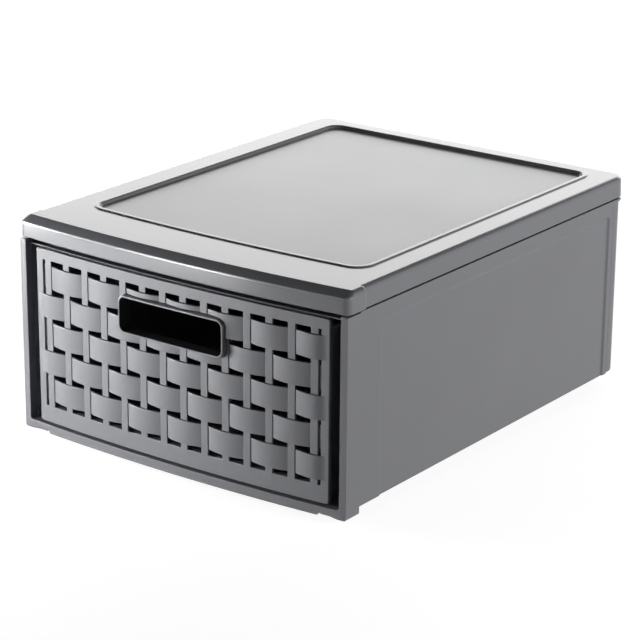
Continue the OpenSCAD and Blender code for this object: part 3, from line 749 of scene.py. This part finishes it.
class BOX_OT_front_frame(bpy.types.Operator):
    """Model the front frame: two posts with their wings, the bottom rail and the foot strip"""

    bl_idname = "drawer_box.front_frame"
    bl_label = "Front frame"

    def execute(self, context):
        size = context.scene.drawer_box_case
        low_z = FRAME_LOW.z + size.foot_height
        top_z = SKIRT_Z - size.skirt_gap
        rail_top = low_z + size.rail_height
        half, opening = HALF_W - size.post_in, HALF_W - size.post_width
        sag = size.bow_radius - math.sqrt(size.bow_radius**2 - HALF_W**2)
        back_y = FRONT_Y + sag + size.post_depth
        wing_x, wing_y = half - size.wing_wall, FRAME_HIGH.y
        foot_x, foot_z = half - size.foot_in, low_z - size.foot_drop
        right = [
            (foot_x, low_z),
            (foot_x + FOOT_STEP, foot_z + FOOT_RISE),
            (half, foot_z),
            (half, top_z),
            (opening, top_z),
            (opening, rail_top),
        ]
        bm = bmesh.new()
        corners = [bm.verts.new((x, z, 0)) for x, z in right]
        corners += [bm.verts.new((-x, z, 0)) for x, z in reversed(right)]
        bm.faces.new(corners)
        feet_and_rail_ends = [corners[i] for i in (2, 5, 6, 9)]
        round_corners(bm, feet_and_rail_ends, FOOT_ROUND, 4)
        stand_up(bm, FRONT_Y)
        pull(bm, bm.faces[:], (0, back_y - FRONT_Y, 0))
        slice_at(bm, [-wing_x, wing_x])
        for sign in (-1, 1):
            behind = faces_where(bm, lambda co: co.y > back_y - TINY and co.x * sign > wing_x)
            pull(bm, behind, (0, wing_y - back_y, 0))
        face_out(bm)
        foot_end = creases(bm, lambda co: co.y > wing_y - TINY and co.z < low_z)
        round_edges(bm, foot_end, WING_FOOT_ROUND, 5)

        def on_front(co):
            return co.y < FRONT_Y + TINY

        corner = creases(bm, lambda co: on_front(co) and abs(co.x) > half - TINY and co.z > low_z - 1 * MM)
        round_edges(bm, corner, size.post_corner, 8)
        wing_edge = creases(bm, lambda co: abs(co.x) > half - TINY and co.y > wing_y - TINY)
        round_edges(bm, wing_edge, WING_ROUND, 4)
        others = creases(bm, lambda co: on_front(co) and abs(co.x) < half - 1 * MM)
        round_edges(bm, others, OPENING_ROUND)
        slice_at(bm, even_places(HALF_W, BOW_SLICES))
        # the rail's front face leans back towards its foot
        slice_at(bm, [low_z + size.rail_height * k for k in (0.3, 0.55, 0.8)], axis=2)
        for vert in bm.verts:
            if vert.co.y < FRONT_Y + 2 * MM and vert.co.z < rail_top and abs(vert.co.x) < opening - 4 * MM:
                vert.co.y += size.rail_lean * min((rail_top - vert.co.z) / size.rail_height, 1) ** 1.5
        bow(bm, size.bow_radius, FRONT_Y + BOW_FULL, back_y)
        merge_into(bm, self.foot_strip(size, low_z))
        merge_into(bm, self.tie_bar(size, back_y))
        merge_into(bm, self.lip(size, opening))
        made = to_object(bm, "front_frame_shell")
        show(made, (SATIN,), CASE, "front_frame", slot="shell")
        return {"FINISHED"}

    def foot_strip(self, size, low_z):
        """The strip under the rail, with slanting ends."""
        part = bmesh.new()
        half = HALF_W - size.foot_in
        front = FRONT_Y + size.rail_lean
        block(part, (-half, front, low_z - size.foot_height), (half, front + size.foot_depth, low_z + MM))
        for vert in part.verts:
            if vert.co.z < low_z:
                vert.co.x -= math.copysign(size.foot_height, vert.co.x)
        round_edges(part, creases(part, lambda co: co.z < low_z), 0.5 * MM)
        bend(part, size, front + size.foot_depth, front + 2 * size.foot_depth)
        return part

    def lip(self, size, opening):
        """The thin lip between the posts that closes the gap above the drawer's tub."""
        part = bmesh.new()
        front = FRONT_LOW.y + LIP_BEHIND
        low_z, high_z = TUB_HIGH.z + LIP_OVER_TUB, FRONT_HIGH.z - LIP_UNDER_TOP
        block(part, (-opening, front, low_z), (opening, front + LIP_DEPTH, high_z))
        bend(part, size, front, front + 40 * MM)
        return part

    def tie_bar(self, size, back_y):
        """The bar that joins the posts' tops under the cover."""
        part = bmesh.new()
        inset = size.cover_wall + TIE_GAP
        end = HALF_W - inset - TIE_END
        low = (-end, FRONT_Y + inset + TIE_BEHIND, SKIRT_Z - TIE_END)
        high = (end, back_y + TIE_BEHIND, TOP_Z - size.ceiling_drop)
        block(part, low, high, 0.5 * MM)
        bend(part, size, low[1] + 1 * MM, high[1])
        return part


FOOT_STEP = 1.5 * MM
FOOT_RISE = 0.4 * MM
FOOT_ROUND = 2 * MM
WING_FOOT_ROUND = 2.5 * MM
WING_ROUND = 1 * MM
OPENING_ROUND = 0.7 * MM
BOW_FULL = 5.5 * MM
LIP_BEHIND = 6.2 * MM
LIP_OVER_TUB = 0.7 * MM
LIP_UNDER_TOP = 0.3 * MM
LIP_DEPTH = 6 * MM
TIE_GAP = 0.4 * MM
TIE_END = 3 * MM
TIE_BEHIND = 5 * MM


# The drawer

# the weave's face lies this far behind the front of the solid
FACE_BEHIND = 2.4 * MM
BORDER_ROUND = 1.1 * MM
SLOT_ROUND = 0.35 * MM
BAND_ROUND = 0.45 * MM
ARCH_STEPS = 12


class BOX_OT_woven_front(bpy.types.Operator):
    """Model the drawer's front: a border with upright straps, and bands woven through them"""

    bl_idname = "drawer_box.woven_front"
    bl_label = "Woven front"

    def execute(self, context):
        case, size = context.scene.drawer_box_case, context.scene.drawer_box_front
        half = FRONT_HIGH.x
        face_y = FRONT_LOW.y + FACE_BEHIND
        low = Vector((size.border_side - half, FRONT_LOW.z + size.border_bottom))
        high = Vector((half - size.border_side, FRONT_HIGH.z - size.border_top))
        first = high.x - size.edge_slot - size.strap_width / 2
        straps = [first * (2 * i / (size.straps - 1) - 1) for i in range(size.straps)]

        sheets = [("grille", self.grille(size, half, low, high, straps))]
        pitch = (high.y - low.y - size.slot_height) / size.rows
        for row in range(size.rows):
            top = high.y - size.slot_height - pitch * row
            side = -1 if row % 2 else 1
            band = self.band(size, straps, high.x, top - (pitch - size.slot_height), top, side)
            sheets.append((f"band_{row + 1}", band))

        bm = bmesh.new()
        for name, sheet in sheets:
            stand_up(sheet, face_y)
            bow(sheet, case.bow_radius)
            bm.from_mesh(cut_away(to_object(sheet, name), self.grip_hole(size, face_y)))
        front = to_object(bm, "woven_front")
        show(front, (BRUSHED,), DRAWER, "drawer_front", slot="weave")
        return {"FINISHED"}

    def grille(self, size, half, low, high, straps):
        """The border and the upright straps as one plate, drawn flat with its face at z = 0."""

        def in_weave(co):
            return low.x < co.x < high.x and low.y < co.y < high.y

        def in_slot(co):
            return in_weave(co) and all(abs(co.x - x) > size.strap_width / 2 for x in straps)

        bm = bmesh.new()
        foot, top = FRONT_LOW.z - size.bottom_drop, FRONT_HIGH.z - size.top_gap
        plate(bm, (-half, foot), (half, top), size.corner, 6)
        slice_at(bm, [low.y, high.y], axis=1)
        edges_x = [low.x, high.x]
        for x in straps:
            edges_x += [x - size.strap_width / 2, x + size.strap_width / 2]
        slice_at(bm, sorted(edges_x))
        bmesh.ops.delete(bm, geom=faces_where(bm, in_slot), context="FACES")
        pull(bm, bm.faces[:], (0, 0, -size.strap_thickness))
        face_out(bm)
        rear = TINY / 10 - size.strap_thickness
        border = faces_where(bm, lambda co: not in_weave(co) and co.z < rear)
        pull(bm, border, (0, 0, size.strap_thickness - size.thickness))
        face_out(bm)
        sides = creases(bm, lambda co: co.z > -TINY / 10 and abs(co.x) > half - size.corner - TINY)
        round_edges(bm, sides, size.side_edge, 5)

        def between(co):
            """Whether a place lies level with the weave, or 1 mm above or below it."""
            return low.y - 1 * MM < co.y < high.y + 1 * MM

        ends = creases(bm, lambda co: co.z > -TINY / 10 and not between(co))
        round_edges(bm, ends, BORDER_ROUND, 4)
        inner = creases(bm, lambda co: co.z > -TINY / 10 and abs(co.x) < high.x + TINY and between(co))
        round_edges(bm, inner, SLOT_ROUND, 2)
        slice_at(bm, even_places(half, BOW_SLICES))
        return bm

    def band(self, size, straps, window, z0, z1, side):
        """One woven band, drawn flat with the border's face at z = 0."""
        first, last = straps[0], straps[-1]
        across = straps[2] - straps[0]
        end = window + 0.7 * size.border_side
        start = -window - 0.3 * size.border_side
        steps = ARCH_STEPS * (len(straps) - 1) + 16

        def out(x):
            """How far the band stands out at x: arches between the straps that it passes behind."""
            if x < first:
                return -size.band_sink
            if x > last:
                return size.band_rise * s_curve((end - x) / (end - last))
            off = ((x - first) % across) / across * 2 - 1
            return size.band_rise - (size.band_rise + size.band_sink) * off**2

        bm = bmesh.new()
        verts = bmesh.ops.create_grid(bm, x_segments=steps, y_segments=1, size=0.5)["verts"]
        stretch(bm, verts, (end - start, z1 - z0, 1))
        move(bm, verts, ((start + end) / 2, (z0 + z1) / 2, 0))
        for vert in bm.verts:
            vert.co.z = out(vert.co.x) - 0.05 * MM
        pull(bm, bm.faces[:], (0, 0, -size.band_thickness))
        face_out(bm)
        long_edges = creases(bm, lambda co: start + 1e-4 < co.x < end - 1e-4)
        round_edges(bm, long_edges, BAND_ROUND)
        if side < 0:
            stretch(bm, bm.verts, (-1, 1, 1))
        return bm

    def grip_hole(self, size, face_y):
        """What the grip takes out of the weave."""
        bm = bmesh.new()
        rim = size.grip_rim - 0.2 * MM
        low = (GRIP_LOW.x + rim, GRIP_LOW.z + rim)
        high = (GRIP_HIGH.x - rim, GRIP_HIGH.z - rim)
        face = plate(bm, low, high, size.grip_corner + 0.2 * MM, 12)
        pull(bm, [face], (0, 0, -40 * MM))
        stand_up(bm, face_y - 20 * MM)
        return to_object(bm, "grip_hole")


class BOX_OT_grip(bpy.types.Operator):
    """Model the grip: a rounded frame with leaning flanks round an open finger hole"""

    bl_idname = "drawer_box.grip"
    bl_label = "Grip"

    def execute(self, context):
        case, size = context.scene.drawer_box_case, context.scene.drawer_box_front
        face_y = FRONT_LOW.y + FACE_BEHIND
        low, high = Vector((GRIP_LOW.x, GRIP_LOW.z)), Vector((GRIP_HIGH.x, GRIP_HIGH.z))
        lip = [math.pi / 2 * i / LIP_STEPS for i in range(LIP_STEPS + 1)]
        # from the rear flange to the weave's face, in along the leaning flanks, over the round lip and back
        path = [(0, size.grip_flange), (size.grip_rim, 0), (0, GRIP_HIGH.y - face_y - size.grip_flange)]
        path += [(size.grip_draft, face_y - GRIP_LOW.y - size.grip_lip)]
        for a, b in zip(lip, lip[1:]):
            step = (math.cos(a) - math.cos(b), math.sin(b) - math.sin(a))
            path.append((size.grip_lip * step[0], size.grip_lip * step[1]))
        path += [(size.grip_wall - size.grip_lip - HOLE_EDGE_ROUND, 0), (HOLE_EDGE_ROUND, -HOLE_EDGE_ROUND)]
        path += [(0, -PAINTED_SHADE_BEHIND), (0, PAINTED_SHADE_BEHIND + HOLE_EDGE_ROUND - GRIP_HIGH.y + GRIP_LOW.y)]
        bm = bmesh.new()
        face = back = plate(bm, low, high, size.grip_corner + size.grip_rim, 12)
        for inset, rise in path:
            face = draw_in(bm, face, inset, rise)
        # the walls inside the finger hole take the nearly black plastic: painted shade for the shaded hollow
        for edge in face.edges:
            for wall in edge.link_faces:
                wall.material_index = 1
        bridge(bm, face, back)
        stand_up(bm, GRIP_HIGH.y)
        slice_at(bm, even_places(high.x, 16))
        bow(bm, case.bow_radius, face_y + 0.5 * MM, GRIP_HIGH.y - size.grip_flange)
        grip = to_object(bm, "grip_sleeve")
        show(grip, (SATIN, PAINTED_GRIP_SHADE), DRAWER, "grip_frame", slot="grip")
        return {"FINISHED"}


LIP_STEPS = 4
# the round on the finger hole's inner edge, and how far behind it the painted shade on the hole's walls
# begins
HOLE_EDGE_ROUND = 0.2 * MM
PAINTED_SHADE_BEHIND = 0.6 * MM


class BOX_OT_inner_pieces(bpy.types.Operator):
    """Give the tub, the base and the runners their plain dark plastic"""

    bl_idname = "drawer_box.inner_pieces"
    bl_label = "Inner pieces"

    def execute(self, context):
        for node in ("drawer_tub", "base_panel", "left_runner", "right_runner"):
            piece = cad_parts[node]
            piece.data.materials.clear()
            piece.data.materials.append(bpy.data.materials[PLAIN])
        return {"FINISHED"}


class BOX_OT_materials(bpy.types.Operator):
    """Make the five plastics, one of them the nearly black painted shade inside the grip"""

    bl_idname = "drawer_box.materials"
    bl_label = "Materials"

    def execute(self, context):
        finish = context.scene.drawer_box_finish
        for name, tint, *surface in PLASTICS:
            polypropylene(name, getattr(finish, tint), *surface)
        return {"FINISHED"}


# The studio

CAMERA_PLACE = Vector((1.1449, -1.5657, 0.7454))
CAMERA_AZIMUTH = math.radians(36.398)
CAMERA_PITCH = math.radians(19.079)
CAMERA_ROLL = math.radians(0.4655)
CAMERA_LENS_MM = 140.4


class BOX_OT_studio(bpy.types.Operator):
    """Set up the floor, the soft lights and the camera"""

    bl_idname = "drawer_box.studio"
    bl_label = "Studio"

    def execute(self, context):
        self.camera(context)
        self.floor(context)
        self.ceiling(context)
        self.lamps(context)
        self.world(context)
        context.scene.view_settings.view_transform = "Standard"
        return {"FINISHED"}

    def camera(self, context):
        """The photograph's view: from the front right, 19 degrees above."""
        data = bpy.data.cameras.new("camera")
        data.lens = CAMERA_LENS_MM
        data.sensor_width = 36
        made = new_object("camera", data)
        turn = Matrix.Rotation(CAMERA_AZIMUTH, 4, "Z") @ Matrix.Rotation(math.pi / 2 - CAMERA_PITCH, 4, "X")
        turn = turn @ Matrix.Rotation(CAMERA_ROLL, 4, "Z")
        made.matrix_world = Matrix.Translation(CAMERA_PLACE) @ turn
        context.scene.camera = made

    def floor(self, context):
        """A pale floor, which the camera and reflections see nearly white, with the box's soft shadow."""
        tint = context.scene.drawer_box_finish.floor
        values = {"Base Color": (*tint, 1), "Roughness": 0.9, "Emission Color": (1, 1, 1, 1)}
        material, tree, shader = start_material("pale studio floor", tint, values)
        values, links = {1: FLOOR_GLOW}, {0: self.seen(tree)}
        glow = add_node(tree, "Math", operation="MULTIPLY", values=values, links=links).outputs[0]
        tree.links.new(glow, shader.inputs["Emission Strength"])
        self.sheet(context, "floor", material, (-8, -8), (8, 8), 0.0)

    def ceiling(self, context):
        """A black cloth over the studio, which the round top edges show as dark lines."""
        tint = context.scene.drawer_box_finish.ceiling
        values = {"Base Color": (*tint, 1), "Roughness": 1.0, "Specular IOR Level": 0.0}
        material, _, _ = start_material("black studio cloth", tint, values)
        made = self.sheet(context, "ceiling", material, CEILING_LOW, CEILING_HIGH, CEILING_Z)
        made.visible_camera = False

    def sheet(self, context, name, material, low, high, z):
        """A flat rectangle that belongs to the studio."""
        bm = bmesh.new()
        plate(bm, low, high)
        mesh = bpy.data.meshes.new(name)
        bm.to_mesh(mesh)
        bm.free()
        mesh.materials.append(material)
        made = new_object(name, mesh)
        made.location.z = z
        return made

    def seen(self, tree):
        """1 where the camera, a reflection or a view through looks, and 0 for light that falls on things."""
        path = add_node(tree, "LightPath").outputs
        seen = path["Is Camera Ray"]
        for kind in ("Is Glossy Ray", "Is Transmission Ray"):
            seen = math_node(tree, "MAXIMUM", seen, path[kind])
        return seen

    def lamps(self, context):
        """Soft boxes at the right, above behind and at the left, and smaller ones at the front left."""
        for name, place, aim, width, height, power, spread in LAMPS:
            data = bpy.data.lights.new(name, "AREA")
            data.shape = "RECTANGLE"
            data.size, data.size_y = width, height
            data.energy = power
            data.spread = math.radians(spread)
            made = new_object(name, data)
            made.location = place
            made.rotation_euler = (Vector(aim) - Vector(place)).to_track_quat("-Z", "Y").to_euler()
            made.visible_camera = False

    def world(self, context):
        """A dim even sky that the camera and reflections see white."""
        world = bpy.data.worlds.new("studio")
        world.use_nodes = True
        tree = world.node_tree
        tree.nodes.clear()
        values, links = {"To Min": WORLD_LEVEL, "To Max": 1.0}, {"Value": self.seen(tree)}
        level = add_node(tree, "MapRange", values=values, links=links).outputs["Result"]
        sky = add_node(tree, "Background", values={"Color": (1, 1, 1, 1)}, links={"Strength": level})
        add_node(tree, "OutputWorld", links={"Surface": sky.outputs["Background"]})
        context.scene.world = world


FLOOR_GLOW = 0.87
WORLD_LEVEL = 0.05
CEILING_LOW, CEILING_HIGH, CEILING_Z = (-3.0, -4.0), (1.5, 2.4), 1.35
# name, place, aim, width, height, power in watts, spread in degrees
LAMPS = (
    ("right box", (1.559, 0.136, 0.413), (0.0, 0.0, 0.08), 0.55, 0.55, 15.0, 180),
    ("rear box", (-0.957, 1.367, 0.754), (0.0, 0.0, 0.08), 2.8, 1.0, 20.4, 180),
    ("left box", (-1.3, -0.45, 0.25), (0.0, -0.2, 0.1), 0.4, 0.4, 4.5, 180),
    ("front left box", (-0.33, -0.5, 0.11), (-0.08, -0.2, 0.1), 0.36, 0.2, 0.65, 180),
    ("left spot", (-0.75, -0.6, 0.105), (-0.08, -0.2, 0.1), 0.2, 0.2, 0.46, 40),
    ("front left spot", (-0.45, -0.8, 0.105), (-0.12, -0.2, 0.1), 0.2, 0.2, 0.22, 40),
)


class BOX_PT_panel(bpy.types.Panel):
    """The steps that build the drawer box"""

    bl_idname = "BOX_PT_panel"
    bl_label = "Drawer box"
    bl_space_type = "VIEW_3D"
    bl_region_type = "UI"
    bl_category = "Drawer box"

    def draw(self, context):
        column = self.layout.column()
        for operator in OPERATORS:
            column.operator(operator.bl_idname)


OPERATORS = (
    BOX_OT_studio,
    BOX_OT_materials,
    BOX_OT_cover,
    BOX_OT_side_panels,
    BOX_OT_back_panel,
    BOX_OT_front_frame,
    BOX_OT_woven_front,
    BOX_OT_grip,
    BOX_OT_inner_pieces,
)
GROUPS = {
    "drawer_box_case": CaseSizes,
    "drawer_box_front": FrontSizes,
    "drawer_box_finish": Finish,
}


def register():
    """Makes the classes known to Blender and gives each scene its sizes and colours."""
    for cls in (*GROUPS.values(), *OPERATORS, BOX_PT_panel):
        bpy.utils.register_class(cls)
    for name, group in GROUPS.items():
        setattr(bpy.types.Scene, name, PointerProperty(type=group))


def unregister():
    """Takes back what register() did."""
    for name in GROUPS:
        delattr(bpy.types.Scene, name)
    for cls in reversed((*GROUPS.values(), *OPERATORS, BOX_PT_panel)):
        bpy.utils.unregister_class(cls)


def main():
    """Builds the studio and the box."""
    register()
    for operator in OPERATORS:
        group, name = operator.bl_idname.split(".")
        getattr(getattr(bpy.ops, group), name)()


if __name__ == "__main__":
    main()
